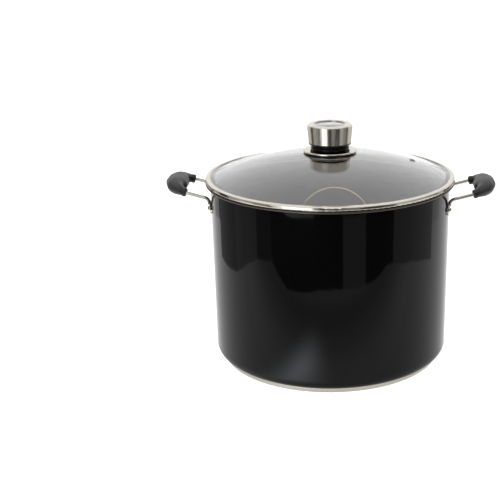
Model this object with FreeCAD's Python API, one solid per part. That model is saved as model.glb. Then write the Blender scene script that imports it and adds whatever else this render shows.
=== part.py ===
import FreeCAD, Part

import math
import os

# A large enamelled canning pot with a domed glass lid, a gauge knob and a wire jar rack.
# Lengths are in millimetres. +Z is up, +X points at the right handle, and the origin is the
# centre of the underside of the base. Every part is written to parts/NAME.step.

V = FreeCAD.Vector
UP = V(0, 0, 1)
ORIGIN = V(0, 0, 0)
FIT = 0.02  # clearance between parts that are pressed or crimped together

# Pot
POT_TOP_R = 160.7  # outside radius of the wall just under the rim
POT_FOOT_R = 159.4  # outside radius of the wall where the bottom corner starts
WALL = 1.0
CORNER_R = 14.5
BASE_R = 149.2
BASE_H = 5.3
CAP_T = 0.6
CAP_OVERLAP = 1.3  # how far the cap and core reach up past the pot's underside
RIM_BEND_R = 2.6
FLANGE_Z = 244.05  # underside of the flared flange
FLANGE_R = 166.1
TRIM_R = 167.0
TRIM_T = 0.55
TRIM_GAP = 0.1

# Side handles
WIRE_R = 2.4
ARM_Y = 37.5  # half the distance between the two arms of a handle
ARM_SLOPE = math.radians(15.0)
ARM_X = 158.6
ARM_BEND_R = 8.0
ARM_BEND_Z = 219.9
LOOP_R = 23.0
LOOP_X = 206.5  # outer bar of the wire loop
GRIP_END_X = 189.0
GRIP_END_R = 5.9
GRIP_BAR_HALF_W = 14.4
GRIP_BAR_HALF_H = 11.1
GRIP_STUB_SHARE = 0.86  # past this share of its half length the grip is a plain round sleeve
GRIP_FULL_SHARE = 0.2  # up to this share it keeps its full thickness
TAB_T = 2.2
TAB_HALF_W = 7.0
TAB_TOP_Z = 222.5
RIVET_Z = 213.0
RIVET_SHANK_R = 2.4
RIVET_HEAD_R = 4.2
RIVET_HEAD_H = 3.0
RIVET_TAIL_H = 1.3

# Lid
SEAT_Z = 245.8  # the lid band's inner shoulder rests here, on the rim trim
BAND_R = 166.5
BAND_SHOULDER_R = 163.2
BAND_UNDER_Z = 246.6  # underside of the band outside its shoulder, clear of the trim
BAND_TOP_Z = 252.0
BAND_LIP_R = 160.5
BAND_T = 0.6
SKIRT_R = 158.4
SKIRT_Z = 234.8
HEM_T = 1.4
HEM_H = 2.0
GLASS_T = 4.0
GLASS_TOP_Z = 283.7
GLASS_EDGE_R = 164.2
DOME_EDGE_R = 157.0
DOME_EDGE_Z = 251.9
STUD_HOLE_R = 5.5
VENT_R = 111.0
VENT_ANGLE = math.radians(6.5)
VENT_HOLE_R = 3.4
EYELET_FLANGE_R = 4.6
EYELET_BORE_R = 2.2

# Knob and gauge, from the glass upwards
PLATE_R = 36.0
PLATE_T = 1.0
PLATE_EDGE_Z = 284.0
PLATE_TOP_Z = 288.1
FOOT_R = 25.4
WAIST_R = 22.4
COLLAR_R = 28.8
BOSS_R = 27.1
SHELL_Z = 295.6
SHELL_FOOT_R = 28.7
SHELL_FLARE_R = 29.2  # where the barrel starts to widen
SHELL_FLARE_Z = 304.0
SHELL_MAX_R = 30.4
SHELL_TOP_Z = 320.6
SHELL_T = 0.8
SHELL_LIP_R = 23.4
BOSS_TOP_Z = 300.0
STUD_R = 5.0
STUD_HEAD_R = 8.0
STUD_HEAD_H = 2.5
STUD_TIP_Z = 266.5
CASE_R = 26.2
CASE_Z = 302.6
CASE_TOP_Z = 317.4
CASE_T = 1.2
DIAL_R = 24.6
DIAL_Z = 312.4
DIAL_T = 0.6
LENS_R = 22.4
LENS_Z = 317.6
LENS_T = 1.6
RING_IN_R = 20.4
SPINDLE_R = 1.0
POINTER_Z = 314.4
NUT_FLATS = 17.0
NUT_H = 6.0
WASHER_R = 15.0
WASHER_T = 1.2
LOWER_GASKET_T = 1.5

# Jar rack
RACK_R = 146.0
RACK_WIRE_R = 2.5
RACK_Z = 22.0  # centre height of the ring and the pivot bars
GRID_WIRE_R = 1.75
GRID_PITCH = 22.0
GRID_COUNT = 13
WELD = 0.12  # how far welded wires sink into each other
BAR_Y = 110.0
FOOT_BEND_R = 5.5
FOOT_Z = 6.45  # underside of the feet, on the pot floor
BAIL_R = 2.0
BAIL_EYE_GAP = 0.5
REAR_BAIL = {"half_width": 55.0, "length": 176.0, "lean": 14.5}
FRONT_BAIL = {"half_width": 33.0, "length": 150.0, "lean": 14.5}

POT_FLOOR_Z = BASE_H + WALL
FLANGE_TOP_Z = FLANGE_Z + WALL
DOME_DROP = GLASS_TOP_Z - DOME_EDGE_Z
DOME_R = (DOME_EDGE_R**2 + DOME_DROP**2) / (2 * DOME_DROP)
DOME_CENTRE = V(0, 0, GLASS_TOP_Z - DOME_R)
GLASS_BOTTOM_Z = GLASS_TOP_Z - GLASS_T


# ---------------------------------------------------------------- drawing helpers
def profile_point(r, z):
    return V(r, 0, z)


def outline(start, *steps):
    """A closed outline in the XZ plane. A step is (r, z) for a line, or ((r, z), (r, z)) for an arc
    through the first point to the second."""
    edges, here = [], start
    for step in (*steps, start):
        if isinstance(step[0], tuple):
            through, end = step
            arc = Part.Arc(profile_point(*here), profile_point(*through), profile_point(*end))
            edges.append(arc.toShape())
        else:
            end = step
            if math.dist(here, end) > 1e-6:
                line = Part.LineSegment(profile_point(*here), profile_point(*end))
                edges.append(line.toShape())
        here = end
    return Part.Wire(edges)


def turned(wire):
    """The solid swept by an outline turned about the Z axis."""
    return Part.Face(wire).revolve(ORIGIN, UP, 360)


def rounded(corners):
    """A closed outline whose corners are (r, z) or (r, z, fillet radius)."""
    start, steps = None, []
    count = len(corners)
    for i, corner in enumerate(corners):
        here = corner[:2]
        radius = corner[2] if len(corner) > 2 else 0
        if not radius:
            joins = [here]
        else:
            before, after = corners[i - 1][:2], corners[(i + 1) % count][:2]
            joins = fillet_points(before, here, after, radius)
        if start is None:
            start = joins[0]
        else:
            steps.append(joins[0])
        if len(joins) == 3:
            steps.append((joins[1], joins[2]))
    return outline(start, *steps)


def fillet_points(before, here, after, radius):
    """Where a fillet starts, its middle, and where it ends."""
    a = unit(before[0] - here[0], before[1] - here[1])
    b = unit(after[0] - here[0], after[1] - here[1])
    half = math.acos(max(-1.0, min(1.0, a[0] * b[0] + a[1] * b[1]))) / 2
    reach = radius / math.tan(half)
    bisector = unit(a[0] + b[0], a[1] + b[1])
    to_arc = radius / math.sin(half) - radius
    first = (here[0] + a[0] * reach, here[1] + a[1] * reach)
    middle = (here[0] + bisector[0] * to_arc, here[1] + bisector[1] * to_arc)
    last = (here[0] + b[0] * reach, here[1] + b[1] * reach)
    return [first, middle, last]


def unit(x, z):
    length = math.hypot(x, z)
    return (x / length, z / length)


def washer(outer_r, inner_r, z, height):
    ring = Part.makeCylinder(outer_r, height, V(0, 0, z))
    return ring.cut(Part.makeCylinder(inner_r, height, V(0, 0, z)))


def rod(a, b, radius):
    return Part.makeCylinder(radius, (b - a).Length, a, b - a)


def pipe(path, radius):
    """A round wire along a path of tangent edges."""
    edge = path.Edges[0]
    start = edge.valueAt(edge.FirstParameter)
    tangent = edge.tangentAt(edge.FirstParameter)
    section = Part.Wire([Part.makeCircle(radius, start, tangent)])
    return path.makePipeShell([section], True, False)


def mirrored_x(shape):
    return shape.mirror(ORIGIN, V(1, 0, 0))


def mirrored_y(shape):
    return shape.mirror(ORIGIN, V(0, 1, 0))


def save(name, shape):
    solids = shape.Solids
    clean = solids[0] if len(solids) == 1 else Part.makeCompound(solids)
    clean.exportStep(os.path.join("parts", name + ".step"))


# ---------------------------------------------------------------- pot
def wall_r(z):
    """Outside radius of the tapered wall at a height."""
    foot = BASE_H + CORNER_R
    return POT_FOOT_R + (POT_TOP_R - POT_FOOT_R) * (z - foot) / (FLANGE_Z - RIM_BEND_R - foot)


def corner_mid(centre_r, centre_z, radius):
    half = radius * math.sqrt(0.5)
    return (centre_r + half, centre_z - half)


def pot_shell():
    foot_r, corner_z = POT_FOOT_R - CORNER_R, BASE_H + CORNER_R
    bend_z = FLANGE_Z - RIM_BEND_R
    bend_r = POT_TOP_R + RIM_BEND_R
    outer_bend = (bend_r - RIM_BEND_R * math.sqrt(0.5), bend_z + RIM_BEND_R * math.sqrt(0.5))
    inner_r = RIM_BEND_R + WALL
    inner_bend = (bend_r - inner_r * math.sqrt(0.5), bend_z + inner_r * math.sqrt(0.5))
    shell = turned(
        outline(
            (0, BASE_H),
            (foot_r, BASE_H),
            (corner_mid(foot_r, corner_z, CORNER_R), (POT_FOOT_R, corner_z)),
            (POT_TOP_R, bend_z),
            (outer_bend, (bend_r, FLANGE_Z)),
            (FLANGE_R, FLANGE_Z),
            (FLANGE_R, FLANGE_TOP_Z),
            (bend_r, FLANGE_TOP_Z),
            (inner_bend, (POT_TOP_R - WALL, bend_z)),
            (POT_FOOT_R - WALL, corner_z),
            (corner_mid(foot_r, corner_z, CORNER_R - WALL), (foot_r, POT_FLOOR_Z)),
            (0, POT_FLOOR_Z),
        )
    )
    for place in FOOT_PLACES:
        shell = shell.cut(radial_rod(place, RIVET_SHANK_R + FIT, 150, 170))
    return shell


def rim_trim():
    """A stainless strip crimped over the raw edge of the flange."""
    low, high = FLANGE_Z - TRIM_GAP - TRIM_T, FLANGE_TOP_Z + TRIM_GAP + TRIM_T
    middle = (low + high) / 2
    nose = (high - low) / 2
    lower_leg_r = POT_TOP_R + RIM_BEND_R + 0.2
    upper_leg_r = lower_leg_r - 1.4
    return turned(
        outline(
            (lower_leg_r, low),
            (TRIM_R - nose, low),
            ((TRIM_R, middle), (TRIM_R - nose, high)),
            (upper_leg_r, high),
            (upper_leg_r, high - TRIM_T),
            (FLANGE_R + 0.1, high - TRIM_T),
            (FLANGE_R + 0.1, low + TRIM_T),
            (lower_leg_r, low + TRIM_T),
        )
    )


def pot_outside():
    """Everything inside the pot's outer surface, for cutting the base to it."""
    foot_r, corner_z = POT_FOOT_R - CORNER_R, BASE_H + CORNER_R
    grown = CORNER_R + FIT
    return turned(
        outline(
            (0, BASE_H - FIT),
            (foot_r, BASE_H - FIT),
            (corner_mid(foot_r, corner_z, grown), (POT_FOOT_R + FIT, corner_z)),
            (0, corner_z),
        )
    )


def base_cap():
    """The pressed stainless tray that encloses the base."""
    top = BASE_H + CAP_OVERLAP
    tray = turned(
        rounded(
            [
                (0, 0),
                (BASE_R, 0, 1.6),
                (BASE_R, top),
                (BASE_R - CAP_T, top),
                (BASE_R - CAP_T, CAP_T, 1.0),
                (0, CAP_T),
            ]
        )
    )
    return tray.cut(pot_outside())


def base_core():
    """The aluminium heat spreader between the cap and the pot."""
    edge = BASE_R - CAP_T - FIT
    low, high = CAP_T + FIT, BASE_H + CAP_OVERLAP - 0.2
    core = turned(rounded([(0, low), (edge, low, 1.05), (edge, high), (0, high)]))
    return core.cut(pot_outside())


# ---------------------------------------------------------------- side handles
FOOT_ANGLE = math.asin(ARM_Y / (wall_r(RIVET_Z) + TAB_T / 2))
FOOT_PLACES = {
    "right_front": -FOOT_ANGLE,
    "right_rear": FOOT_ANGLE,
    "left_front": math.pi + FOOT_ANGLE,
    "left_rear": math.pi - FOOT_ANGLE,
}


def radial_rod(place, radius, from_r, to_r):
    """A cylinder along the radius through a rivet's place."""
    out = V(math.cos(FOOT_PLACES[place]), math.sin(FOOT_PLACES[place]), 0)
    return rod(out * from_r + UP * RIVET_Z, out * to_r + UP * RIVET_Z, radius)


def handle_tab(place):
    """The flattened end of the wire, curved to the wall."""
    low, high = RIVET_Z - TAB_HALF_W, TAB_TOP_Z
    inner_low, inner_high = wall_r(low) + FIT, wall_r(high) + FIT
    blank = turned(
        outline(
            (inner_low, low),
            (inner_low + TAB_T, low),
            (inner_high + TAB_T, high),
            (inner_high, high),
        )
    )
    round_end = radial_rod(place, TAB_HALF_W, 140, 180)
    neck = Part.makeBox(40, 2 * TAB_HALF_W, TAB_TOP_Z - RIVET_Z, V(140, -TAB_HALF_W, RIVET_Z))
    shoulder = Part.makeCylinder(4.5, 40, V(140, 0, TAB_TOP_Z - 3.5), V(1, 0, 0))
    taper = hull_prism([(-TAB_HALF_W, RIVET_Z), (TAB_HALF_W, RIVET_Z), (4.2, TAB_TOP_Z), (-4.2, TAB_TOP_Z)])
    neck = neck.common(taper.fuse(shoulder))
    neck.rotate(ORIGIN, UP, math.degrees(FOOT_PLACES[place]))
    hole = radial_rod(place, RIVET_SHANK_R + FIT, 140, 180)
    return blank.common(round_end.fuse(neck)).cut(hole)


def hull_prism(corners):
    """A prism along +X with the given (y, z) corners."""
    points = [V(140, y, z) for y, z in corners]
    face = Part.Face(Part.makePolygon(points + points[:1]))
    return face.extrude(V(40, 0, 0))


def arm_point(x, y):
    """A point of the handle's sloping plane."""
    start_x = ARM_X + ARM_BEND_R * (1 - math.sin(ARM_SLOPE))
    start_z = ARM_BEND_Z + ARM_BEND_R * math.cos(ARM_SLOPE)
    return V(x, y, start_z + (x - start_x) * math.tan(ARM_SLOPE))


def loop_path():
    """The wire's centreline, from the rear foot round the loop to the front foot."""
    start_x = ARM_X + ARM_BEND_R * (1 - math.sin(ARM_SLOPE))
    run = LOOP_R * math.cos(ARM_SLOPE)
    straight_x = LOOP_X - run
    bar_y = ARM_Y - LOOP_R
    diagonal = math.sqrt(0.5)
    half_turn = (math.pi / 2 + ARM_SLOPE) / 2
    edges = []
    for side in (1, -1):
        y = side * ARM_Y
        foot = V(ARM_X, y, ARM_BEND_Z)
        middle = V(
            ARM_X + ARM_BEND_R * (1 - math.sin(half_turn)), y, ARM_BEND_Z + ARM_BEND_R * math.cos(half_turn)
        )
        bend = Part.Arc(foot, middle, arm_point(start_x, y)).toShape()
        arm = Part.LineSegment(arm_point(start_x, y), arm_point(straight_x, y)).toShape()
        corner_x = straight_x + run * diagonal
        corner_y = side * (bar_y + LOOP_R * diagonal)
        corner = Part.Arc(
            arm_point(straight_x, y), arm_point(corner_x, corner_y), arm_point(LOOP_X, side * bar_y)
        ).toShape()
        edges.append([bend, arm, corner])
    bar = Part.LineSegment(arm_point(LOOP_X, bar_y), arm_point(LOOP_X, -bar_y)).toShape()
    return Part.Wire([*edges[0], bar, *reversed(edges[1])])


def handle_wire():
    """The right handle's wire with its two flattened ends."""
    wire = pipe(loop_path(), WIRE_R)
    ends = [Part.makeSphere(WIRE_R, V(ARM_X, side * ARM_Y, ARM_BEND_Z)) for side in (1, -1)]
    wall = Part.makeCone(wall_r(200) + FIT, wall_r(240) + FIT, 40, V(0, 0, 200))
    tabs = [handle_tab("right_rear"), handle_tab("right_front")]
    return wire.multiFuse([*ends, *tabs]).cut(wall).removeSplitter()


def grip_section(t):
    """One oval section of the grip. t runs from -1 at the front end to 1 at the rear end."""
    bar_y = ARM_Y - LOOP_R
    run = LOOP_R * math.cos(ARM_SLOPE)
    side = 1 if t >= 0 else -1
    on_bar = min(1.0, abs(t) / GRIP_BAR_SHARE)
    turn = max(0.0, (abs(t) - GRIP_BAR_SHARE) / (1 - GRIP_BAR_SHARE)) * GRIP_TURN
    x = LOOP_X - run * (1 - math.cos(turn))
    y = side * (bar_y * on_bar + LOOP_R * math.sin(turn))
    fullness = grip_fullness(abs(t))
    half_w = GRIP_END_R + (GRIP_BAR_HALF_W - GRIP_END_R) * fullness
    half_h = GRIP_END_R + (GRIP_BAR_HALF_H - GRIP_END_R) * math.sin(fullness * math.pi / 2)
    if abs(t) == 1:
        half_w, half_h = half_w - 0.9, half_h - 0.9
    level, rise = math.cos(ARM_SLOPE), math.sin(ARM_SLOPE)
    outward = V(math.cos(turn) * level, side * math.sin(turn), math.cos(turn) * rise)
    along = V(-math.sin(turn) * level, side * math.cos(turn), -math.sin(turn) * rise)
    oval = Part.Ellipse(ORIGIN, half_w, half_h * 0.999)
    section = Part.Wire([oval.toShape()])
    frame = FreeCAD.Matrix()
    up = V(-rise, 0, level)
    place = arm_point(x, y)
    frame.A11, frame.A21, frame.A31 = outward.x, outward.y, outward.z
    frame.A12, frame.A22, frame.A32 = up.x, up.y, up.z
    frame.A13, frame.A23, frame.A33 = -along.x, -along.y, -along.z
    frame.A14, frame.A24, frame.A34 = place.x, place.y, place.z
    return section.transformed(frame)


GRIP_BAR_SHARE = 0.34  # share of the grip's half length that lies on the straight bar
LOOP_RUN = LOOP_R * math.cos(ARM_SLOPE)
GRIP_TURN = math.acos((GRIP_END_X - (LOOP_X - LOOP_RUN)) / LOOP_RUN)
GRIP_STATIONS = [0, 0.1, 0.2, 0.32, 0.44, 0.56, 0.67, 0.77, 0.86, 0.92, 0.975, 1]


def grip_fullness(t):
    """How far the section is on the way from the thin sleeve, 0, to the thick bar, 1."""
    way = (GRIP_STUB_SHARE - t) / (GRIP_STUB_SHARE - GRIP_FULL_SHARE)
    return max(0.0, min(1.0, way))


def handle_grip():
    """The right handle's soft grip, a thick bar that thins towards both arms."""
    stations = [-t for t in reversed(GRIP_STATIONS[1:])] + GRIP_STATIONS
    body = Part.makeLoft([grip_section(t) for t in stations], True, False)
    return body.cut(pipe(loop_path(), WIRE_R + FIT))


def rivet(place):
    """A domed rivet through the tab and the wall, with its flat tail inside the pot."""
    out = V(math.cos(FOOT_PLACES[place]), math.sin(FOOT_PLACES[place]), 0)
    inner = wall_r(RIVET_Z) - WALL - 0.12
    outer = wall_r(RIVET_Z) + TAB_T + 0.12
    dome_r = (RIVET_HEAD_R**2 + RIVET_HEAD_H**2) / (2 * RIVET_HEAD_H)
    shank = radial_rod(place, RIVET_SHANK_R, inner - 0.5, outer + 0.5)
    ball = Part.makeSphere(dome_r, out * (outer + RIVET_HEAD_H - dome_r) + UP * RIVET_Z)
    head = ball.common(radial_rod(place, RIVET_HEAD_R, outer, outer + RIVET_HEAD_H + 1))
    tail = radial_rod(place, RIVET_HEAD_R, inner - RIVET_TAIL_H, inner)
    tail = tail.makeFillet(0.5, [e for e in tail.Edges if is_inner_edge(e, inner - RIVET_TAIL_H, out)])
    return shank.multiFuse([head, tail]).removeSplitter()


def is_inner_edge(edge, reach, out):
    return edge.Closed and abs(edge.Vertexes[0].Point.dot(out) - reach) < 0.01


# ---------------------------------------------------------------- lid
def dome_z(r, radius=DOME_R):
    """Height of a sphere about the dome's centre, at a distance from the axis."""
    return DOME_CENTRE.z + math.sqrt(radius**2 - r**2)


def glass_eyelet_axis():
    """The outward normal of the glass at the vent, and the point on its top face."""
    r = VENT_R
    foot = V(r * math.cos(VENT_ANGLE), r * math.sin(VENT_ANGLE), dome_z(r))
    normal = foot - DOME_CENTRE
    normal.normalize()
    return foot, normal


def lid_glass():
    inner = DOME_R - GLASS_T
    edge_top = BAND_TOP_Z - BAND_T - 0.1
    edge_bottom = SEAT_Z + BAND_T + 0.1
    flat_r = DOME_EDGE_R + 3.0
    under_r = DOME_EDGE_R - 3.5
    mid = DOME_EDGE_R / 2
    glass = turned(
        outline(
            (STUD_HOLE_R, dome_z(STUD_HOLE_R)),
            ((mid, dome_z(mid)), (DOME_EDGE_R, dome_z(DOME_EDGE_R))),
            (flat_r, edge_top),
            (GLASS_EDGE_R - 1.2, edge_top),
            (
                (GLASS_EDGE_R, (edge_top + edge_bottom) / 2),
                (GLASS_EDGE_R - 1.2, edge_bottom),
            ),
            (DOME_EDGE_R + 1.0, edge_bottom),
            (under_r, dome_z(under_r, inner)),
            ((mid, dome_z(mid, inner)), (STUD_HOLE_R, dome_z(STUD_HOLE_R, inner))),
        )
    )
    foot, normal = glass_eyelet_axis()
    hole = Part.makeCylinder(VENT_HOLE_R, 20, foot - normal * 10, normal)
    return glass.cut(hole)


def lid_band():
    """The stainless strip crimped round the glass, with a skirt that drops inside the pot."""
    low, under, high = SEAT_Z, BAND_UNDER_Z, BAND_TOP_Z
    t = BAND_T
    return turned(
        rounded(
            [
                (BAND_LIP_R, high - t, 0.2),
                (BAND_LIP_R, high, 0.25),
                (BAND_R, high, 2.2),
                (BAND_R, under, 1.3),
                (BAND_SHOULDER_R + 1.0, under, 0.3),
                (BAND_SHOULDER_R, low, 0.3),
                (SKIRT_R + 0.9, low, 0.8),
                (SKIRT_R, SKIRT_Z, 0.6),
                (SKIRT_R - HEM_T, SKIRT_Z, 0.6),
                (SKIRT_R - HEM_T, SKIRT_Z + HEM_H, 0.6),
                (SKIRT_R - t, SKIRT_Z + HEM_H + 0.8),
                (SKIRT_R - t, low + t, 0.9),
                (BAND_SHOULDER_R + 0.1, low + t, 0.3),
                (BAND_SHOULDER_R + 1.1, under + t, 0.3),
                (BAND_R - t, under + t, 0.8),
                (BAND_R - t, high - t, 1.6),
            ]
        )
    )


def vent_eyelet():
    """A steel eyelet set in the vent hole, flanged over both faces of the glass."""
    foot, normal = glass_eyelet_axis()
    flange, sleeve = 0.6, VENT_HOLE_R - FIT
    gap = 0.1
    eyelet = turned(
        rounded(
            [
                (EYELET_BORE_R, -GLASS_T - gap - flange, 0.2),
                (EYELET_FLANGE_R, -GLASS_T - gap - flange, 0.25),
                (EYELET_FLANGE_R, -GLASS_T - gap),
                (sleeve, -GLASS_T - gap),
                (sleeve, gap),
                (EYELET_FLANGE_R, gap),
                (EYELET_FLANGE_R, gap + flange, 0.35),
                (EYELET_BORE_R, gap + flange, 0.35),
            ]
        )
    )
    turn = FreeCAD.Rotation(UP, normal)
    eyelet.Placement = FreeCAD.Placement(foot, turn)
    return eyelet


# ---------------------------------------------------------------- knob and gauge
def knob_plate():
    """The polished dished plate between the knob and the glass."""
    t = PLATE_T
    return turned(
        rounded(
            [
                (STUD_R + 0.3, PLATE_TOP_Z - t),
                (FOOT_R + 0.6, PLATE_TOP_Z - t, 2.0),
                (PLATE_R - 2.2, PLATE_EDGE_Z + 0.9, 1.0),
                (PLATE_R - t, PLATE_EDGE_Z + 0.5),
                (PLATE_R - t, PLATE_EDGE_Z, 0.2),
                (PLATE_R, PLATE_EDGE_Z, 0.4),
                (PLATE_R, PLATE_EDGE_Z + 1.9, 1.0),
                (PLATE_R - 2.0, PLATE_EDGE_Z + 2.2, 1.0),
                (FOOT_R + 1.0, PLATE_TOP_Z, 2.0),
                (STUD_R + 0.3, PLATE_TOP_Z),
            ]
        )
    )


def plate_gasket():
    """The silicone ring that seats the plate on the glass."""
    outer, inner = PLATE_R - PLATE_T - 0.1, PLATE_R - 7.0
    ring = washer(outer, inner, PLATE_EDGE_Z - 3, 5.5)
    ring = ring.cut(Part.makeSphere(DOME_R + FIT, DOME_CENTRE))
    under_plate = turned(
        outline(
            (0, PLATE_TOP_Z - PLATE_T - FIT),
            (FOOT_R + 0.6, PLATE_TOP_Z - PLATE_T - 0.15),
            (PLATE_R - 2.6, PLATE_EDGE_Z + 0.75),
            (PLATE_R - PLATE_T - 0.05, PLATE_EDGE_Z + 0.3),
            (PLATE_R - PLATE_T - 0.05, PLATE_EDGE_Z - 10),
            (0, PLATE_EDGE_Z - 10),
        )
    )
    return ring.common(under_plate)


def knob_base():
    """The black moulded foot, waist and collar that carry the steel barrel."""
    bore = STUD_R + 0.1
    return turned(
        rounded(
            [
                (bore, PLATE_TOP_Z + FIT),
                (FOOT_R, PLATE_TOP_Z + FIT, 0.4),
                (FOOT_R, PLATE_TOP_Z + 1.6, 0.6),
                (WAIST_R, PLATE_TOP_Z + 2.8, 0.8),
                (WAIST_R + 0.2, SHELL_Z - 2.8, 0.8),
                (COLLAR_R, SHELL_Z - 1.6, 0.6),
                (COLLAR_R, SHELL_Z - FIT, 0.4),
                (BOSS_R, SHELL_Z - FIT),
                (BOSS_R, BOSS_TOP_Z, 0.6),
                (bore, BOSS_TOP_Z),
            ]
        )
    )


def knob_shell():
    """The brushed steel barrel, open at the top for the gauge."""
    t = SHELL_T
    lip_z = SHELL_TOP_Z - 1.3
    return turned(
        rounded(
            [
                (SHELL_FOOT_R, SHELL_Z, 0.3),
                (SHELL_FLARE_R, SHELL_FLARE_Z, 60.0),
                (SHELL_MAX_R, SHELL_TOP_Z - 5.8, 12.0),
                (SHELL_MAX_R - 0.5, SHELL_TOP_Z, 3.4),
                (SHELL_LIP_R, SHELL_TOP_Z, 0.5),
                (SHELL_LIP_R, lip_z),
                (SHELL_LIP_R + t, lip_z),
                (SHELL_LIP_R + t, SHELL_TOP_Z - t, 0.2),
                (SHELL_MAX_R - 0.5 - t, SHELL_TOP_Z - t, 2.6),
                (SHELL_MAX_R - t, SHELL_TOP_Z - 5.8, 11.0),
                (SHELL_FLARE_R - t, SHELL_FLARE_Z, 60.0),
                (SHELL_FOOT_R - t, SHELL_Z, 0.2),
            ]
        )
    )


def knob_stud():
    """The threaded stud that clamps the knob to the glass and carries heat to the gauge."""
    return turned(
        rounded(
            [
                (0, STUD_TIP_Z),
                (STUD_R - 0.9, STUD_TIP_Z),
                (STUD_R, STUD_TIP_Z + 0.9),
                (STUD_R, BOSS_TOP_Z + FIT),
                (STUD_HEAD_R, BOSS_TOP_Z + FIT),
                (STUD_HEAD_R, BOSS_TOP_Z + STUD_HEAD_H, 0.5),
                (0, BOSS_TOP_Z + STUD_HEAD_H),
            ]
        )
    )


def gauge_case():
    """The cup inside the barrel that holds the gauge's works."""
    t = CASE_T
    pivot = Part.makeCylinder(2.6, 2.0, V(0, 0, CASE_Z + t))
    cup = turned(
        rounded(
            [
                (0, CASE_Z),
                (CASE_R, CASE_Z, 1.2),
                (CASE_R, CASE_TOP_Z),
                (CASE_R - t, CASE_TOP_Z),
                (CASE_R - t, CASE_Z + t, 0.4),
                (0, CASE_Z + t),
            ]
        )
    )
    ledge = washer(CASE_R - t, CASE_R - t - 2.6, DIAL_Z - FIT - 1.2, 1.2)
    bearing = Part.makeCylinder(SPINDLE_R + 0.03, 4.0, V(0, 0, CASE_Z + t - 0.4))
    return cup.multiFuse([pivot, ledge]).cut(bearing).removeSplitter()


def dial_plate():
    return washer(DIAL_R, SPINDLE_R + 0.6, DIAL_Z, DIAL_T)


def gauge_lens():
    """The clear window, with a slightly crowned top."""
    crown = 0.5
    crown_r = (LENS_R**2 + crown**2) / (2 * crown)
    disc = Part.makeCylinder(LENS_R, LENS_T + 1, V(0, 0, LENS_Z))
    return disc.common(Part.makeSphere(crown_r, V(0, 0, LENS_Z + LENS_T - crown_r)))


def bezel_ring():
    """The polished ring that holds the window inside the barrel's lip."""
    outer = SHELL_LIP_R - 0.06
    low = LENS_Z + FIT
    top = SHELL_TOP_Z + 0.1
    return turned(
        rounded(
            [
                (LENS_R + 0.06, low),
                (outer, low),
                (outer, top, 0.5),
                (RING_IN_R, top - 0.5, 0.15),
                (RING_IN_R, LENS_Z + LENS_T - 0.1 + FIT),
                (LENS_R + 0.06, LENS_Z + LENS_T - 0.1 + FIT),
            ]
        )
    )


def bimetal_spiral():
    """A flat spiral strip made of half turns about two centres, half a pitch apart."""
    thickness, pitch, height, half_turns, first_r = 0.5, 2.2, 3.6, 13, 4.2
    outer, inner = [], []
    for k in range(half_turns):
        side = 1 if k % 2 == 0 else -1
        centre = 0 if k % 2 == 0 else pitch / 2
        for rail, grow in ((outer, thickness / 2), (inner, -thickness / 2)):
            r = first_r + k * pitch / 2 + grow
            start, end = V(centre + side * r, 0, 0), V(centre - side * r, 0, 0)
            rail.append((start, V(centre, side * r, 0), end))
    arcs = [Part.Arc(a, b, c).toShape() for a, b, c in outer]
    back = [Part.Arc(c, b, a).toShape() for a, b, c in reversed(inner)]
    start_cap = Part.LineSegment(inner[0][0], outer[0][0]).toShape()
    end_cap = Part.LineSegment(outer[-1][2], inner[-1][2]).toShape()
    face = Part.Face(Part.Wire([start_cap, *arcs, end_cap, *back]))
    band = face.extrude(V(0, 0, height))
    band.translate(V(0, 0, CASE_Z + CASE_T + 2.6))
    return band


def pointer_spindle():
    low = CASE_Z + CASE_T - 0.3
    return Part.makeCylinder(SPINDLE_R, POINTER_Z + 0.9 - low, V(0, 0, low))


def dial_pointer():
    """A tapered needle with a round hub and a short counterweight tail."""
    tip, tail = 18.0, 7.0
    corners = [(-tail, -1.6), (-tail, 1.6), (0, 1.3), (tip, 0.35), (tip, -0.35), (0, -1.3)]
    points = [V(x, y, POINTER_Z) for x, y in corners]
    needle = Part.Face(Part.makePolygon(points + points[:1])).extrude(V(0, 0, 0.5))
    hub = Part.makeCylinder(2.6, 0.9, V(0, 0, POINTER_Z - 0.2))
    bore = Part.makeCylinder(SPINDLE_R + FIT, 4, V(0, 0, POINTER_Z - 2))
    pointer = needle.fuse(hub).cut(bore).removeSplitter()
    pointer.rotate(ORIGIN, UP, POINTER_REST_DEG)
    return pointer


POINTER_REST_DEG = 225.0


def lower_gasket():
    z = GLASS_BOTTOM_Z - LOWER_GASKET_T
    ring = washer(WASHER_R - 0.5, STUD_R + 0.2, z, LOWER_GASKET_T)
    return ring.common(Part.makeSphere(DOME_R - GLASS_T - FIT, DOME_CENTRE))


def clamp_washer():
    z = GLASS_BOTTOM_Z - LOWER_GASKET_T - FIT - WASHER_T
    return washer(WASHER_R, STUD_R + 0.15, z, WASHER_T)


def lock_nut():
    top = GLASS_BOTTOM_Z - LOWER_GASKET_T - 2 * FIT - WASHER_T
    low = top - NUT_H
    corner = NUT_FLATS / math.sqrt(3)
    turns = [k * math.pi / 3 for k in range(7)]
    points = [V(corner * math.cos(turn), corner * math.sin(turn), low) for turn in turns]
    hexagon = Part.Face(Part.makePolygon(points)).extrude(V(0, 0, NUT_H))
    bevel = turned(
        outline(
            (0, low),
            (NUT_FLATS / 2, low),
            (corner, low + 0.8),
            (corner, top - 0.8),
            (NUT_FLATS / 2, top),
            (0, top),
        )
    )
    return hexagon.common(bevel).cut(Part.makeCylinder(STUD_R + 0.05, NUT_H, V(0, 0, low)))


# ---------------------------------------------------------------- jar rack
GRID_Z = RACK_Z + RACK_WIRE_R + GRID_WIRE_R - WELD


def rack_ring():
    return Part.makeTorus(RACK_R, RACK_WIRE_R, V(0, 0, RACK_Z))


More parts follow.
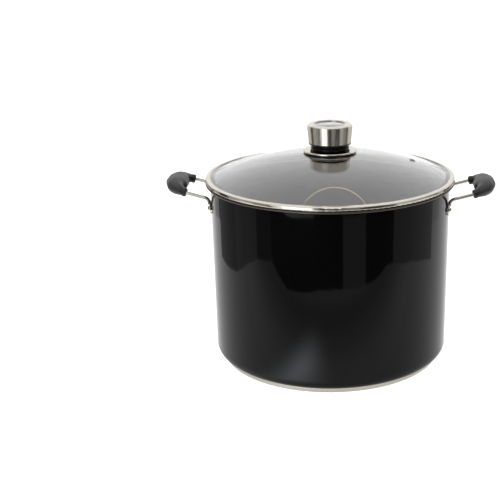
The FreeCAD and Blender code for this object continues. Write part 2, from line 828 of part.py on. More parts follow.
def rack_pivot_bars():
    """Two bars under the grid, butted against the inside of the ring. The bails turn on them."""
    reach = math.sqrt(RACK_R**2 - BAR_Y**2) - 1.0
    bars = [rod(V(-reach, y, RACK_Z), V(reach, y, RACK_Z), RACK_WIRE_R) for y in (-BAR_Y, BAR_Y)]
    return Part.makeCompound(bars).cut(rack_ring())


def rack_grid_wires():
    wires = []
    for k in range(GRID_COUNT):
        x = (k - (GRID_COUNT - 1) / 2) * GRID_PITCH
        reach = math.sqrt((RACK_R + 1.5) ** 2 - x**2)
        wires.append(rod(V(x, -reach, GRID_Z), V(x, reach, GRID_Z), GRID_WIRE_R))
    return Part.makeCompound(wires)


def rack_feet():
    """Four hairpin feet welded under the ring."""
    feet = []
    top = RACK_Z - 1.0
    low = FOOT_Z + GRID_WIRE_R + FOOT_BEND_R
    for k in range(4):
        left, right = V(0, -FOOT_BEND_R, 0), V(0, FOOT_BEND_R, 0)
        legs = [
            Part.LineSegment(left + UP * top, left + UP * low).toShape(),
            Part.Arc(left + UP * low, UP * (low - FOOT_BEND_R), right + UP * low).toShape(),
            Part.LineSegment(right + UP * low, right + UP * top).toShape(),
        ]
        foot = pipe(Part.Wire(legs), GRID_WIRE_R)
        foot.translate(V(RACK_R, 0, 0))
        foot.rotate(ORIGIN, UP, 45 + 90 * k)
        feet.append(foot)
    return Part.makeCompound(feet).cut(rack_ring())


def rack_bail(half_width, length, lean):
    """An arch of wire with an eye round the rear pivot bar at each foot, leaning to the wall."""
    eye_r = RACK_WIRE_R + BAIL_EYE_GAP + BAIL_R
    shoulder = length - half_width
    path = Part.Wire(
        [
            Part.LineSegment(V(half_width, 0, eye_r), V(half_width, 0, shoulder)).toShape(),
            Part.Arc(V(half_width, 0, shoulder), V(0, 0, length), V(-half_width, 0, shoulder)).toShape(),
            Part.LineSegment(V(-half_width, 0, shoulder), V(-half_width, 0, eye_r)).toShape(),
        ]
    )
    eyes = [Part.makeTorus(eye_r, BAIL_R, V(x, 0, 0), V(1, 0, 0)) for x in (-half_width, half_width)]
    bail = pipe(path, BAIL_R).multiFuse(eyes).removeSplitter()
    bail.rotate(ORIGIN, V(1, 0, 0), -lean)
    bail.translate(V(0, BAR_Y, RACK_Z))
    return bail


def main():
    os.makedirs("parts", exist_ok=True)
    wire, grip = handle_wire(), handle_grip()
    parts = {
        "pot_shell": pot_shell(),
        "rim_trim": rim_trim(),
        "base_cap": base_cap(),
        "base_core": base_core(),
        "handle_wire_right": wire,
        "handle_wire_left": mirrored_x(wire),
        "handle_grip_right": grip,
        "handle_grip_left": mirrored_x(grip),
        "lid_glass": lid_glass(),
        "lid_band": lid_band(),
        "vent_eyelet": vent_eyelet(),
        "knob_plate": knob_plate(),
        "plate_gasket": plate_gasket(),
        "knob_base": knob_base(),
        "knob_shell": knob_shell(),
        "knob_stud": knob_stud(),
        "gauge_case": gauge_case(),
        "dial_plate": dial_plate(),
        "gauge_lens": gauge_lens(),
        "bezel_ring": bezel_ring(),
        "bimetal_spiral": bimetal_spiral(),
        "pointer_spindle": pointer_spindle(),
        "dial_pointer": dial_pointer(),
        "lower_gasket": lower_gasket(),
        "clamp_washer": clamp_washer(),
        "lock_nut": lock_nut(),
        "rack_ring": rack_ring(),
        "rack_pivot_bars": rack_pivot_bars(),
        "rack_grid_wires": rack_grid_wires(),
        "rack_feet": rack_feet(),
        "rack_bail_rear": rack_bail(**REAR_BAIL),
        "rack_bail_front": mirrored_y(rack_bail(**FRONT_BAIL)),
    }
    for place in FOOT_PLACES:
        parts["rivet_" + place] = rivet(place)
    for name, shape in parts.items():
        save(name, shape)
        print(f"{name:20s} solids {len(shape.Solids)} valid {shape.isValid()} volume {shape.Volume:.1f}")


if __name__ == "__main__":
    main()
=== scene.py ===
import math

import bpy
from mathutils import Matrix, Quaternion, Vector


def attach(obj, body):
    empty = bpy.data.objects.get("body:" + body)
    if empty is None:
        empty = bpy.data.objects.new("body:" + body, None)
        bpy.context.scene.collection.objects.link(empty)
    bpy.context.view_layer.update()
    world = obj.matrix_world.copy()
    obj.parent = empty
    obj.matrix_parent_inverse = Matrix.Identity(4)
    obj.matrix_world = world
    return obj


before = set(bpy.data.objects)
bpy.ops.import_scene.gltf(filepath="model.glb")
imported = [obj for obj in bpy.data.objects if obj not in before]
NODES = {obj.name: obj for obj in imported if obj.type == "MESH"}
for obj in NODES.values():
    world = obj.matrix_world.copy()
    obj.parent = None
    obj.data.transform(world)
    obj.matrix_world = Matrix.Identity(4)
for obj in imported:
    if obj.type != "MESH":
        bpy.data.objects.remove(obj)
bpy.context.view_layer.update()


# ---------------------------------------------------------------- camera
TARGET = Vector((0, 0, 0.144))
CAMERA_DISTANCE = 1.4375
CAMERA_ELEVATION = math.radians(18.16)
CAMERA_AZIMUTH = math.radians(2.6)
CAMERA_ROLL = math.radians(-0.3)
LENS_MM = 75.24
SENSOR_MM = 36
CLIP = (0.01, 60)
SHIFT_X = -0.161


def make_camera():
    data = bpy.data.cameras.new("camera")
    data.lens = LENS_MM
    data.sensor_width = SENSOR_MM
    data.shift_x = SHIFT_X
    data.clip_start, data.clip_end = CLIP
    camera = bpy.data.objects.new("camera", data)
    flat = CAMERA_DISTANCE * math.cos(CAMERA_ELEVATION)
    offset = (
        flat * math.sin(CAMERA_AZIMUTH),
        -flat * math.cos(CAMERA_AZIMUTH),
        CAMERA_DISTANCE * math.sin(CAMERA_ELEVATION),
    )
    camera.location = TARGET + Vector(offset)
    aim = (TARGET - camera.location).to_track_quat("-Z", "Y")
    camera.rotation_euler = (aim @ Quaternion((0, 0, 1), CAMERA_ROLL)).to_euler()
    bpy.context.scene.collection.objects.link(camera)
    bpy.context.scene.camera = camera


make_camera()


# ---------------------------------------------------------------- material helpers
# A colour Mix node's sockets, by index, because several of its sockets share a name.
MIX_A, MIX_B, MIX_RESULT = 6, 7, 2


def shaded(tone, share):
    """That share of a colour's brightness."""
    return tuple(c * share for c in tone)


class Finish:
    """A Principled material and short calls that add detail to it."""

    def __init__(self, name, **values):
        self.material = bpy.data.materials.new(name)
        self.material.use_nodes = True
        self.tree = self.material.node_tree
        self.shader = self.tree.nodes["Principled BSDF"]
        self.normal = None
        for socket, value in values.items():
            key = socket.replace("_", " ")
            self.shader.inputs[key].default_value = (*value, 1) if isinstance(value, tuple) else value

    def node(self, kind, **settings):
        node = self.tree.nodes.new(kind)
        for key, value in settings.items():
            setattr(node, key, value)
        return node

    def link(self, source, target):
        self.tree.links.new(source, target)

    def math(self, operation, a, b=None):
        node = self.node("ShaderNodeMath", operation=operation)
        for socket, value in zip(node.inputs, (a, b)):
            if value is None:
                continue
            if isinstance(value, (int, float)):
                socket.default_value = value
            else:
                self.link(value, socket)
        return node.outputs[0]

    def place(self):
        """Object coordinates, in metres in the shared frame."""
        return self.node("ShaderNodeTexCoord").outputs["Object"]

    def axes(self):
        split = self.node("ShaderNodeSeparateXYZ")
        self.link(self.place(), split.inputs[0])
        return split.outputs

    def radius(self, x, y):
        """Distance from the vertical axis."""
        squares = [self.math("MULTIPLY", along, along) for along in (x, y)]
        return self.math("SQRT", self.math("ADD", *squares))

    def lathe(self, around=0.0):
        """Coordinates of radius and height, so that a pattern runs in rings. With around, they
        also change a little with the angle."""
        x, y, z = self.axes()
        join = self.node("ShaderNodeCombineXYZ")
        self.link(self.radius(x, y), join.inputs[0])
        self.link(z, join.inputs[2])
        if around:
            self.link(self.math("MULTIPLY", self.math("ARCTAN2", y, x), around), join.inputs[1])
        return join.outputs[0]

    def noise(self, scale, where=None, detail=3.0, roughness=0.5):
        texture = self.node("ShaderNodeTexNoise")
        texture.inputs["Scale"].default_value = scale
        texture.inputs["Detail"].default_value = detail
        texture.inputs["Roughness"].default_value = roughness
        self.link(where or self.place(), texture.inputs["Vector"])
        return texture.outputs["Fac"]

    def spread(self, value, low, high, from_low=0.3, from_high=0.7):
        """A value such as noise, rescaled to run from low to high."""
        node = self.node("ShaderNodeMapRange")
        self.link(value, node.inputs["Value"])
        ranges = {"From Min": from_low, "From Max": from_high, "To Min": low, "To Max": high}
        for key, number in ranges.items():
            node.inputs[key].default_value = number
        return node.outputs[0]

    def rough(self, value):
        self.link(value, self.shader.inputs["Roughness"])
        return self

    def ramp(self, value, *stops):
        """A colour that follows a value. A stop is (position, colour)."""
        ramp = self.node("ShaderNodeValToRGB")
        elements = ramp.color_ramp.elements
        while len(elements) < len(stops):
            elements.new(0.5)
        for element, (position, colour) in zip(elements, stops):
            element.position = position
            element.color = (*colour, 1)
        self.link(value, ramp.inputs[0])
        return ramp.outputs[0]

    def times(self, one, other):
        """Two colours multiplied."""
        node = self.node("ShaderNodeMix", data_type="RGBA", blend_type="MULTIPLY")
        node.inputs["Factor"].default_value = 1.0
        self.link(one, node.inputs[MIX_A])
        self.link(other, node.inputs[MIX_B])
        return node.outputs[MIX_RESULT]

    def tint(self, value, *stops):
        self.link(self.ramp(value, *stops), self.shader.inputs["Base Color"])
        return self

    def bump(self, height, depth):
        """Relief of that depth in metres. Calls add up."""
        node = self.node("ShaderNodeBump")
        node.inputs["Distance"].default_value = depth
        node.inputs["Strength"].default_value = 1.0
        self.link(height, node.inputs["Height"])
        if self.normal:
            self.link(self.normal, node.inputs["Normal"])
        self.normal = node.outputs[0]
        self.link(self.normal, self.shader.inputs["Normal"])
        return self


# ---------------------------------------------------------------- materials
STAINLESS = (0.74, 0.69, 0.61)
SKIRT_EDGE = (0.1595, 0.1602)  # radius over which the brushed skirt, darkened with painted shade, turns into the polished band
# Upright part of a normal: levelled in full under the first, left as it is over the second.
LEVELLED_RANGE = (0.15, 0.45)
SLEEVE_EDGE = (0.196, 0.199)  # distance from the middle over which a grip's dark sleeve ends


def black_enamel():
    finish = Finish("black_enamel", Base_Color=(0.0006, 0.0006, 0.0006), Roughness=0.05)
    finish.shader.inputs["Specular IOR Level"].default_value = 0.12
    cloud = finish.noise(9, detail=4)
    finish.tint(cloud, (0.3, (0.0005, 0.0005, 0.0006)), (0.7, (0.0009, 0.0008, 0.0008)))
    finish.rough(finish.spread(finish.noise(35), 0.03, 0.07))
    finish.bump(finish.noise(28, detail=1), 0.00004)
    finish.bump(finish.noise(420, detail=1), 0.000002)
    return finish.material


def polished_steel(name="polished_steel", tone=STAINLESS, gloss=(0.06, 0.14)):
    """Sheet stainless that was polished on a wheel, with fine rings and slight waves."""
    finish = Finish(name, Metallic=1.0, Base_Color=tone)
    finish.tint(finish.noise(60, detail=4), (0.35, shaded(tone, 0.93)), (0.65, tone))
    rings = finish.noise(2600, finish.lathe(), detail=2)
    finish.rough(finish.spread(rings, *gloss))
    finish.bump(rings, 0.0000015)
    finish.bump(finish.noise(45, detail=1), 0.00001)
    return finish.material


def band_steel():
    """The lid band: polished outside, and brushed on the skirt that drops inside the rim, where painted
    shade halves its colour.
    """
    finish = Finish("band_steel", Metallic=1.0, Base_Color=STAINLESS)
    x, y, _ = finish.axes()
    outside = finish.spread(finish.radius(x, y), 0.0, 1.0, *SKIRT_EDGE)
    waves = finish.noise(60, detail=4)
    cloud = finish.ramp(waves, (0.35, shaded(STAINLESS, 0.93)), (0.65, STAINLESS))
    # Painted shade: half the brightness on the skirt inside the rim, for the shade inside the pot.
    shade = finish.ramp(outside, (0.0, (0.5, 0.5, 0.5)), (1.0, (1, 1, 1)))
    finish.link(finish.times(cloud, shade), finish.shader.inputs["Base Color"])
    rings = finish.noise(2600, finish.lathe(), detail=2)
    polish = finish.spread(rings, 0.06, 0.14)
    finish.rough(finish.math("ADD", polish, finish.spread(outside, 0.4, 0.0, 0.0, 1.0)))
    finish.bump(rings, 0.0000015)
    finish.bump(finish.noise(45, detail=1), 0.00001)
    return finish.material


def turned_steel():
    """Stainless turned on a lathe: the base ring."""
    tone = (0.76, 0.71, 0.635)
    finish = Finish("turned_steel", Metallic=1.0, Base_Color=tone)
    coarse = finish.noise(900, finish.lathe(), detail=3, roughness=0.7)
    finish.tint(coarse, (0.35, (0.60, 0.56, 0.50)), (0.62, tone))
    finish.rough(finish.spread(coarse, 0.16, 0.34))
    finish.bump(coarse, 0.00002)
    return finish.material


def brushed_barrel():
    """The knob's barrel, brushed round its axis, so highlights run up and down it. On the side,
    the shading normal is levelled, so that it reflects as a straight cylinder does."""
    tone = (0.82, 0.765, 0.67)
    finish = Finish("brushed_barrel", Metallic=1.0, Base_Color=tone)
    finish.shader.inputs["Anisotropic"].default_value = 1.0
    finish.shader.inputs["Anisotropic Rotation"].default_value = 0.25
    tangent = finish.node("ShaderNodeTangent", direction_type="RADIAL", axis="Z")
    finish.link(tangent.outputs[0], finish.shader.inputs["Tangent"])
    split = finish.node("ShaderNodeSeparateXYZ")
    finish.link(finish.node("ShaderNodeNewGeometry").outputs["Normal"], split.inputs[0])
    upright = finish.spread(finish.math("ABSOLUTE", split.outputs[2]), 0.0, 1.0, *LEVELLED_RANGE)
    join = finish.node("ShaderNodeCombineXYZ")
    finish.link(split.outputs[0], join.inputs[0])
    finish.link(split.outputs[1], join.inputs[1])
    finish.link(finish.math("MULTIPLY", split.outputs[2], upright), join.inputs[2])
    finish.normal = join.outputs[0]
    lines = finish.noise(5200, finish.lathe(0.002), detail=3, roughness=0.7)
    finish.tint(lines, (0.3, (0.70, 0.65, 0.56)), (0.7, tone))
    finish.rough(finish.spread(lines, 0.17, 0.22))
    finish.bump(lines, 0.0000005)
    return finish.material


def drawn_wire(name, tone):
    """Drawn and polished wire with small die marks."""
    finish = Finish(name, Metallic=1.0, Base_Color=tone)
    finish.tint(finish.noise(300, detail=5), (0.35, shaded(tone, 0.88)), (0.6, tone))
    finish.rough(finish.spread(finish.noise(700, detail=3), 0.08, 0.2))
    finish.bump(finish.noise(900, detail=2), 0.000004)
    return finish.material


def machined_aluminium():
    finish = Finish("machined_aluminium", Metallic=1.0, Base_Color=(0.78, 0.78, 0.79))
    lines = finish.noise(2200, finish.lathe(), detail=2)
    finish.tint(lines, (0.3, (0.6, 0.6, 0.61)), (0.7, (0.8, 0.8, 0.81)))
    finish.rough(finish.spread(lines, 0.25, 0.42))
    finish.bump(lines, 0.000005)
    return finish.material


def soft_touch():
    """Charcoal silicone with a fine spark-eroded grain."""
    finish = Finish("soft_touch", Base_Color=(0.011, 0.011, 0.0113), Roughness=0.45)
    finish.shader.inputs["Specular IOR Level"].default_value = 0.4
    finish.shader.inputs["Sheen Weight"].default_value = 0.04
    finish.shader.inputs["Sheen Roughness"].default_value = 0.5
    blotches = finish.noise(70, detail=4)
    cloud = finish.ramp(blotches, (0.35, (0.009, 0.009, 0.0093)), (0.65, (0.013, 0.013, 0.013)))
    along = finish.math("ABSOLUTE", finish.axes()[0])
    sleeve = finish.ramp(along, (SLEEVE_EDGE[0], (0.3, 0.3, 0.3)), (SLEEVE_EDGE[1], (1, 1, 1)))
    finish.link(finish.times(cloud, sleeve), finish.shader.inputs["Base Color"])
    finish.rough(finish.spread(finish.noise(900, detail=2), 0.36, 0.5))
    finish.bump(finish.noise(1900, detail=2), 0.00002)
    return finish.material


def moulded_black():
    finish = Finish("moulded_black", Base_Color=(0.003, 0.003, 0.003), Roughness=0.3)
    finish.shader.inputs["Specular IOR Level"].default_value = 0.2
    finish.tint(finish.noise(160, detail=4), (0.35, (0.002, 0.002, 0.002)), (0.65, (0.004, 0.004, 0.004)))
    finish.rough(finish.spread(finish.noise(700, detail=2), 0.22, 0.36))
    finish.bump(finish.noise(1400, detail=2), 0.000008)
    return finish.material


def clear_glass(name, tone=(0.985, 0.995, 0.99), coat=0.0):
    """Clear glass with the faint waves of pressed sheet. The coat makes its reflections stronger."""
    finish = Finish(name, Base_Color=tone, Roughness=0.0)
    finish.shader.inputs["Transmission Weight"].default_value = 1.0
    finish.shader.inputs["IOR"].default_value = 1.5
    finish.shader.inputs["Coat Weight"].default_value = coat
    finish.shader.inputs["Coat Roughness"].default_value = 0.0
    finish.rough(finish.spread(finish.noise(40, detail=5), 0.0, 0.012))
    finish.bump(finish.noise(18, detail=1), 0.00002)
    return finish.material


def silicone():
    finish = Finish("silicone", Base_Color=(0.62, 0.62, 0.6), Roughness=0.4)
    finish.shader.inputs["Transmission Weight"].default_value = 0.3
    finish.tint(finish.noise(300), (0.35, (0.56, 0.56, 0.54)), (0.65, (0.68, 0.68, 0.66)))
    finish.rough(finish.spread(finish.noise(800), 0.35, 0.5))
    finish.bump(finish.noise(1600), 0.00001)
    return finish.material


def printed(name, tone, spark=0.02, emission=0.0):
    """A painted or printed sheet with a faint eggshell grain. The emission makes up for the
    light that a window over it holds back."""
    finish = Finish(name, Base_Color=tone, Roughness=0.4)
    finish.shader.inputs["Emission Color"].default_value = (*tone, 1)
    finish.shader.inputs["Emission Strength"].default_value = emission
    paler = tuple(min(1.0, c + spark) for c in tone)
    finish.tint(finish.noise(900), (0.35, tone), (0.65, paler))
    finish.rough(finish.spread(finish.noise(1500), 0.3, 0.45))
    finish.bump(finish.noise(2500), 0.000004)
    return finish.material


def bimetal():
    finish = Finish("bimetal", Metallic=1.0, Base_Color=(0.72, 0.56, 0.33))
    finish.tint(finish.noise(500), (0.35, (0.6, 0.45, 0.26)), (0.65, (0.76, 0.6, 0.38)))
    finish.rough(finish.spread(finish.noise(900), 0.25, 0.4))
    finish.bump(finish.noise(1500), 0.000005)
    return finish.material


STEEL = polished_steel()
# The rim trim is nearly black: partly its own dark, smoky steel, partly painted shade for the gap under
# the lid band.
TRIM_PAINTED_SHADE = polished_steel("rim_steel_painted_shade", (0.10, 0.085, 0.07), (0.25, 0.40))
HANDLE_WIRE = drawn_wire("handle_wire_steel", (0.45, 0.415, 0.365))
# The rack's plating is made dark: painted shade for the dim floor of the pot under the lid. Its golden
# hue is a guess at the plating.
RACK_WIRE_PAINTED_SHADE = drawn_wire("rack_wire_plating_painted_shade", (0.24, 0.18, 0.10))
# The bails' plating is brighter than the rack's: a painted glint, so that their arch shows through the
# lid. Its golden hue is a guess at the plating.
BAIL_WIRE_PAINTED_GLINT = drawn_wire("bail_wire_plating_painted_glint", (0.60, 0.44, 0.22))
EYELET = polished_steel("eyelet_steel", (0.30, 0.28, 0.25))
FINISHES = {
    black_enamel(): ["pot_shell"],
    TRIM_PAINTED_SHADE: ["rim_trim"],
    band_steel(): ["lid_band"],
    EYELET: ["vent_eyelet"],
    STEEL: ["knob_plate", "bezel_ring", "clamp_washer", "lock_nut"]
    + [f"rivet_{side}_{end}" for side in ("left", "right") for end in ("front", "rear")],
    turned_steel(): ["base_cap"],
    brushed_barrel(): ["knob_shell"],
    HANDLE_WIRE: ["handle_wire_right", "handle_wire_left", "knob_stud", "pointer_spindle"],
    RACK_WIRE_PAINTED_SHADE: ["rack_ring", "rack_pivot_bars", "rack_grid_wires", "rack_feet"],
    BAIL_WIRE_PAINTED_GLINT: ["rack_bail_rear", "rack_bail_front"],
    machined_aluminium(): ["base_core", "gauge_case"],
    soft_touch(): ["handle_grip_right", "handle_grip_left"],
    moulded_black(): ["knob_base", "plate_gasket"],
    clear_glass("lid_glass_clear", coat=0.8): ["lid_glass"],
    clear_glass("window_clear", (0.99, 0.99, 0.99)): ["gauge_lens"],
    silicone(): ["lower_gasket"],
    printed("dial_white", (0.80, 0.82, 0.86), emission=0.55): ["dial_plate"],
    printed("pointer_red", (0.45, 0.03, 0.02)): ["dial_pointer"],
    bimetal(): ["bimetal_spiral"],
}


def dress_nodes():
    for material, names in FINISHES.items():
        for name in names:
            data = NODES[name].data
            data.materials.clear()
            data.materials.append(material)
            for face in data.polygons:
                face.material_index = 0


dress_nodes()


# ---------------------------------------------------------------- print on the dial
DIAL_TOP = 0.31301  # a hair above the dial plate
PRINT_T = 0.00004
SCALE_START_DEG = 225
SCALE_SWEEP_DEG = 270
SCALE_STEPS = 50
SCALE_R = 0.0192
SCALE_LINE_W = 0.0003
MAJOR_EVERY = 5
MAJOR_TICK = (0.0168, 0.00022)  # inner radius and half width
MINOR_TICK = (0.0179, 0.0001)
HOT_ZONE_START = 0.8  # share of the scale
HOT_ZONE_OFFSETS = (0.00035, 0.0010)  # of its two edges, outside the scale's radius
NUMERAL_COUNT = 6
NUMERAL_STEP = 20
NUMERAL_R = 0.0135
NUMERAL_SIZE = 0.0040


def scale_angle(share):
    """Where that share of the scale is. The scale runs clockwise, as the pointer does."""
    return math.radians(SCALE_START_DEG - SCALE_SWEEP_DEG * share)


def prism(corners, low, high):
    """The vertices and faces of a flat piece through corners (x, y)."""
    count = len(corners)
    vertices = [(x, y, z) for z in (low, high) for x, y in corners]
    sides = [(k, (k + 1) % count, count + (k + 1) % count, count + k) for k in range(count)]
    return vertices, [tuple(reversed(range(count))), tuple(range(count, 2 * count))] + sides


def piece(name, shapes, material, body):
    """One mesh from several (vertices, faces), riding on a body."""
    vertices, faces = [], []
    for some, joined in shapes:
        faces += [tuple(len(vertices) + k for k in face) for face in joined]
        vertices += some
    data = bpy.data.meshes.new(name)
    data.from_pydata(vertices, [], faces)
    data.materials.append(material)
    thing = bpy.data.objects.new(name, data)
    bpy.context.scene.collection.objects.link(thing)
    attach(thing, body)


def tick(share, inner, half_width):
    angle = scale_angle(share)
    out, along = (math.cos(angle), math.sin(angle)), (-math.sin(angle), math.cos(angle))
    places = ((inner, -1), (SCALE_R, -1), (SCALE_R, 1), (inner, 1))
    corners = [tuple(out[k] * r + along[k] * side * half_width for k in (0, 1)) for r, side in places]
    return prism(corners, DIAL_TOP, DIAL_TOP + PRINT_T)


def arc_strip(start, end, inner, outer, steps=24):
    """A stretch of arc between two shares of the scale, as short flat pieces."""
    strips = []
    for k in range(steps):
        here, there = (scale_angle(start + (end - start) * (k + n) / steps) for n in (0, 1))
        places = ((inner, here), (outer, here), (outer, there), (inner, there))
        corners = [(r * math.cos(a), r * math.sin(a)) for r, a in reversed(places)]
        strips.append(prism(corners, DIAL_TOP, DIAL_TOP + PRINT_T))
    return strips


def numeral(value, share, material):
    data = bpy.data.curves.new(f"numeral_{value}", "FONT")
    data.body = str(value)
    data.size = NUMERAL_SIZE
    data.extrude = PRINT_T / 2
    data.align_x, data.align_y = "CENTER", "CENTER"
    text = bpy.data.objects.new("numeral_outline", data)
    mesh = bpy.data.meshes.new_from_object(text)
    mesh.name = f"numeral_{value}"
    angle = scale_angle(share)
    place = Vector((NUMERAL_R * math.cos(angle), NUMERAL_R * math.sin(angle), DIAL_TOP + PRINT_T / 2))
    mesh.transform(Matrix.Translation(place))
    mesh.materials.append(material)
    bpy.data.objects.remove(text)
    thing = bpy.data.objects.new(f"numeral_{value}", mesh)
    bpy.context.scene.collection.objects.link(thing)
    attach(thing, "lid")


def print_dial():
    ink = printed("dial_ink", (0.015, 0.015, 0.018), 0.01)
    red = printed("dial_red", (0.50, 0.04, 0.03))
    ticks = []
    for k in range(SCALE_STEPS + 1):
        inner, half_width = MINOR_TICK if k % MAJOR_EVERY else MAJOR_TICK
        ticks.append(tick(k / SCALE_STEPS, inner, half_width))
    piece("dial_ticks", ticks, ink, "lid")
    piece("dial_scale_arc", arc_strip(0, 1, SCALE_R, SCALE_R + SCALE_LINE_W, 60), ink, "lid")
    inner, outer = (SCALE_R + offset for offset in HOT_ZONE_OFFSETS)
    piece("dial_hot_zone", arc_strip(HOT_ZONE_START, 1, inner, outer), red, "lid")
    for k in range(NUMERAL_COUNT):
        numeral(k * NUMERAL_STEP, k / (NUMERAL_COUNT - 1), ink)


print_dial()


# ---------------------------------------------------------------- welds on the rack
RACK_RING_R = 0.146
BAR_Y = 0.110
GRID_PITCH = 0.022
WELD_Z = 0.0245
WELD_SIZE = (0.0026, 0.0026, 0.0015)
NUGGET_RINGS_DEG = (-54, -18, 18, 54)  # how high each ring of a lump lies, as a latitude
NUGGET_SIDES = 10
SIDE_WIRES = 6  # grid wires on each side of the middle one
BAR_MARGIN = 0.01  # a wire is welded to the bars if it reaches this far past them


def nugget(x, y):
    """A weld's squeezed-out metal where two wires cross, as a low rounded lump."""
    rings = [(math.cos(math.radians(a)), math.sin(math.radians(a))) for a in NUGGET_RINGS_DEG]
    sides = NUGGET_SIDES
    turns = [math.radians(360 / sides * k) for k in range(sides)]
    wide, deep, high = WELD_SIZE
    vertices = [
        (x + wide * r * math.cos(t), y + deep * r * math.sin(t), WELD_Z + high * h)
        for r, h in rings
        for t in turns
    ]
    last = sides * (len(rings) - 1)
    faces = [
        (low + m, low + (m + 1) % sides, low + sides + (m + 1) % sides, low + sides + m)
        for low in range(0, last, sides)
        for m in range(sides)
    ]
    return vertices, [tuple(reversed(range(sides))), tuple(range(last, last + sides))] + faces


def weld_rack():
    spots = []
    for k in range(-SIDE_WIRES, SIDE_WIRES + 1):
        x = k * GRID_PITCH
        reach = math.sqrt(RACK_RING_R**2 - x**2)
        spots += [nugget(x, side * reach) for side in (-1, 1)]
        if reach > BAR_Y + BAR_MARGIN:
            spots += [nugget(x, side * BAR_Y) for side in (-1, 1)]
    material = drawn_wire("weld_tint", (0.10, 0.075, 0.05))
    piece("rack_welds", spots, material, "rack")


weld_rack()


# ---------------------------------------------------------------- stage and light
# An imagined studio, set so that the enamel reflects shapes like those on the real pot.
# It isn't known to be how the real studio was.
# The edge of a white table, from the left rear round the front to the right rear: x and y in
# metres, and how bright the studio is that shows past each stretch of it.
TABLE_EDGE = [
    (-0.515, 0.210, 0.45),
    (-0.530, -0.045, 0.65),
    (-0.567, -0.165, 0.72),
    (-0.565, -0.300, 0.28),
    (-0.480, -0.437, 0.10),
    (-0.284, -0.443, 0.10),
    (-0.174, -0.489, 0.10),
    (-0.065, -0.529, 0.09),
    (0.050, -0.534, 0.07),
    (0.115, -0.524, 0.62),
    (0.280, -0.470, 0.09),
    (0.341, -0.443, 0.10),
    (0.473, -0.402, 0.12),
    (0.524, -0.350, 0.72),
    (0.594, -0.155, 0.78),
    (0.591, 0.006, 0.75),
    (0.560, 0.113, 0.0),
]
EDGE_SCREEN_H = 0.125
# The studio past the table: two angles from the front towards +X, and the brightness between
# them, near the floor and above.
ROOM_R = 0.78
ROOM_LOW_H = 0.045
ROOM_PANEL_H = 0.60
ROOM_TOP_H = 0.95
BACK_PANEL_H = 0.30
BACK_FROM_DEG = 118
ROOM_TOP_GLOW = 0.65
ROOM_PANELS = [
    (-165, -130, 1.40, 0.60),
    (-130, -118, 1.00, 0.60),
    (-118, -106, 0.10, 0.40),
    (-106, -92, 0.10, 0.03),
    (-92, -72, 0.30, 0.36),
    (-72, -46, 0.20, 0.20),
    (-46, -36, 0.85, 1.00),
    (-36, -24, 1.70, 2.20),
    (-24, -11, 1.70, 1.70),
    (-11, -5, 0.17, 0.30),
    (-5, 10, 0.07, 0.01),
    (10, 26, 0.22, 0.18),
    (26, 54, 0.09, 0.04),
    (54, 72, 0.28, 0.34),
    (72, 98, 0.16, 0.18),
    (98, 105, 1.30, 0.04),
    (105, 118, 1.30, 0.50),
    (118, 165, 1.50, 0.60),
]
PANEL_STEP_DEG = 5
UPPER_REACH_DEG = 110
LAMP_COLOUR = (0.88, 0.95, 1.0)
LAMP_LEVEL = 1.6  # panels brighter than this are lamps, and take their colour
# Brightness of the paper by distance in front of the axis.
PAPER_GLOW = [
    (0.17, 1.30),
    (0.19, 1.42),
    (0.23, 1.35),
    (0.27, 1.20),
    (0.31, 0.95),
    (0.35, 0.82),
    (0.39, 0.66),
    (0.43, 0.66),
    (0.50, 0.95),
    (0.56, 1.00),
]
PAPER_SIDE_LEVEL = 1.15  # the paper is brighter by this factor at PAPER_SIDE_X and past it
PAPER_SIDE_X = 0.45
CONTACT_SHADE = 0.5  # how dark it is against the pot, and the radii over which that fades
CONTACT_R = (0.155, 0.178)
# The soft glow of a lamp on the paper.
LAMP_GLOW = 5.0
LAMP_PLACE = (-0.065, -0.224)
LAMP_REACH = (0.043, 0.085)
LAMP_FADE = 0.05  # what is left of it against the pot
LAMP_FADE_R = (0.160, 0.190)
LAMP_TINT = (0.88, 0.93, 1.0)
FLOOR_HALF = 30
CARD_HALF = 1.5
CARD_Z = 0.0006


def stage_mesh(name, vertices, faces, material):
    data = bpy.data.meshes.new(name)
    data.from_pydata(vertices, [], faces)
    data.materials.append(material)
    thing = bpy.data.objects.new(name, data)
    bpy.context.scene.collection.objects.link(thing)
    return thing


def sheet_at(name, half, z, material):
    corners = [(-half, -half, z), (half, -half, z), (half, half, z), (-half, half, z)]
    return stage_mesh(name, corners, [(0, 1, 2, 3)], material)


def only_in_reflections(thing):
    thing.visible_camera = False
    thing.visible_diffuse = False
    thing.visible_shadow = False
    thing.visible_transmission = False


def pale_floor():
    """White paper. Reflections see paper_card in its place."""
    finish = Finish("pale_floor", Base_Color=(0.5, 0.5, 0.5), Roughness=0.6)
    finish.tint(finish.noise(3), (0.3, (0.49, 0.49, 0.49)), (0.7, (0.51, 0.51, 0.51)))
    finish.shader.inputs["Specular IOR Level"].default_value = 0.1
    finish.shader.inputs["Emission Color"].default_value = (1, 1, 1, 1)
    finish.shader.inputs["Emission Strength"].default_value = 0.85
    floor = sheet_at("floor", FLOOR_HALF, 0, finish.material)
    floor.visible_glossy = False


def glow(name, strength, colour=(1, 1, 1)):
    finish = Finish(name, Base_Color=(0, 0, 0), Roughness=1.0)
    finish.shader.inputs["Specular IOR Level"].default_value = 0.0
    finish.shader.inputs["Emission Color"].default_value = (*colour, 1)
    finish.shader.inputs["Emission Strength"].default_value = strength
    return finish


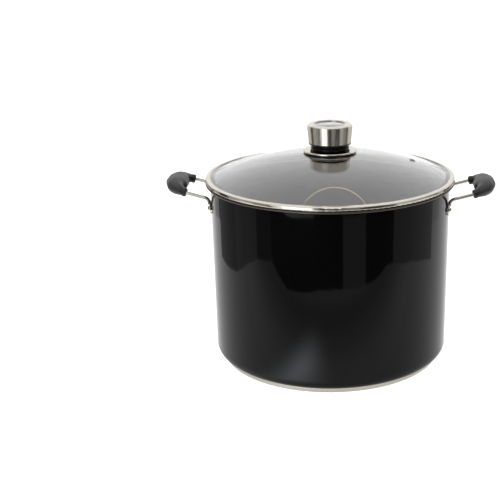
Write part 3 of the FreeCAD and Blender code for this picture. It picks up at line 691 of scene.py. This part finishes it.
def paper_card():
    """The paper as the glossy wall sees it: brighter beside the pot, with a soft bluish lamp on it."""
    finish = glow("paper_card", 1.0)
    x, y, _ = finish.axes()
    front = finish.math("MULTIPLY", y, -1.0)
    level = finish.ramp(front, *[(place, (bright,) * 3) for place, bright in PAPER_GLOW])
    aside = finish.spread(finish.math("ABSOLUTE", x), 1.0, PAPER_SIDE_LEVEL, 0.0, PAPER_SIDE_X)
    radius = finish.radius(x, y)
    shade = finish.spread(radius, CONTACT_SHADE, 1.0, *CONTACT_R)
    distance = None
    for axis, middle, reach in zip((x, y), LAMP_PLACE, LAMP_REACH):
        off = finish.math("DIVIDE", finish.math("SUBTRACT", axis, middle), reach)
        square = finish.math("MULTIPLY", off, off)
        distance = finish.math("ADD", square, distance) if distance else square
    lamp = finish.math("POWER", math.e, finish.math("MULTIPLY", distance, -1.0))
    lamp = finish.math("MULTIPLY", lamp, finish.spread(radius, LAMP_FADE, 1.0, *LAMP_FADE_R))
    level = finish.math("MULTIPLY", finish.math("MULTIPLY", level, aside), shade)
    strength = finish.math("ADD", level, finish.math("MULTIPLY", lamp, LAMP_GLOW))
    tone = finish.ramp(lamp, (0.0, (1, 1, 1)), (0.5, LAMP_TINT))
    finish.link(strength, finish.shader.inputs["Emission Strength"])
    finish.link(tone, finish.shader.inputs["Emission Color"])
    only_in_reflections(sheet_at("paper_card", CARD_HALF, CARD_Z, finish.material))


def wall(name, points, low, high, material):
    """An upright sheet through points (x, y) that only reflections see."""
    count = len(points)
    vertices = [(x, y, z) for z in (low, high) for x, y in points]
    faces = [(k, k + 1, count + k + 1, count + k) for k in range(count - 1)]
    only_in_reflections(stage_mesh(name, vertices, faces, material))


def curved_wall(name, from_deg, to_deg, low, high, material):
    steps = max(2, round((to_deg - from_deg) / PANEL_STEP_DEG))
    angles = [math.radians(from_deg + (to_deg - from_deg) * k / steps) for k in range(steps + 1)]
    wall(name, [(ROOM_R * math.sin(a), -ROOM_R * math.cos(a)) for a in angles], low, high, material)


def studio_room():
    for k, (here, there) in enumerate(zip(TABLE_EDGE, TABLE_EDGE[1:])):
        material = glow(f"edge_screen_{k}", here[2]).material
        wall(f"edge_screen_{k}", [here[:2], there[:2]], 0.0, EDGE_SCREEN_H, material)
    for k, (start, end, near_floor, above) in enumerate(ROOM_PANELS):
        top = ROOM_PANEL_H if max(-start, end) <= BACK_FROM_DEG else BACK_PANEL_H
        halves = (("low", near_floor, 0.0, ROOM_LOW_H), ("high", above, ROOM_LOW_H, top))
        for part, level, low, high in halves:
            name = f"room_{part}_{k}"
            colour = LAMP_COLOUR if level > LAMP_LEVEL else (1, 1, 1)
            curved_wall(name, start, end, low, high, glow(name, level, colour).material)
    upper = glow("room_upper", ROOM_TOP_GLOW).material
    curved_wall("room_upper", -UPPER_REACH_DEG, UPPER_REACH_DEG, ROOM_PANEL_H, ROOM_TOP_H, upper)


def world_light(strength):
    world = bpy.data.worlds.new("studio")
    world.use_nodes = True
    world.node_tree.nodes["Background"].inputs["Color"].default_value = (1, 1, 1, 1)
    world.node_tree.nodes["Background"].inputs["Strength"].default_value = strength
    bpy.context.scene.world = world


def softbox(name, place, aim, size, power, colour=(1, 1, 1)):
    data = bpy.data.lights.new(name, "AREA")
    data.shape = "RECTANGLE"
    data.size, data.size_y = size
    data.energy = power
    data.color = colour
    lamp = bpy.data.objects.new(name, data)
    lamp.location = place
    lamp.rotation_euler = (Vector(aim) - Vector(place)).to_track_quat("-Z", "Y").to_euler()
    lamp.visible_camera = False
    lamp.visible_glossy = False
    lamp.visible_transmission = False
    bpy.context.scene.collection.objects.link(lamp)


pale_floor()
paper_card()
studio_room()
world_light(1.0)
softbox("top_light", place=(0.0, 0.2, 1.7), aim=(0, 0, 0.2), size=(1.6, 1.2), power=18)
softbox(
    "window_light",
    place=(-0.32, -0.62, 0.75),
    aim=(0, 0, 0.22),
    size=(0.16, 0.7),
    power=9,
    colour=(0.9, 0.94, 1.0),
)

scene = bpy.context.scene
scene.view_settings.view_transform = "Standard"
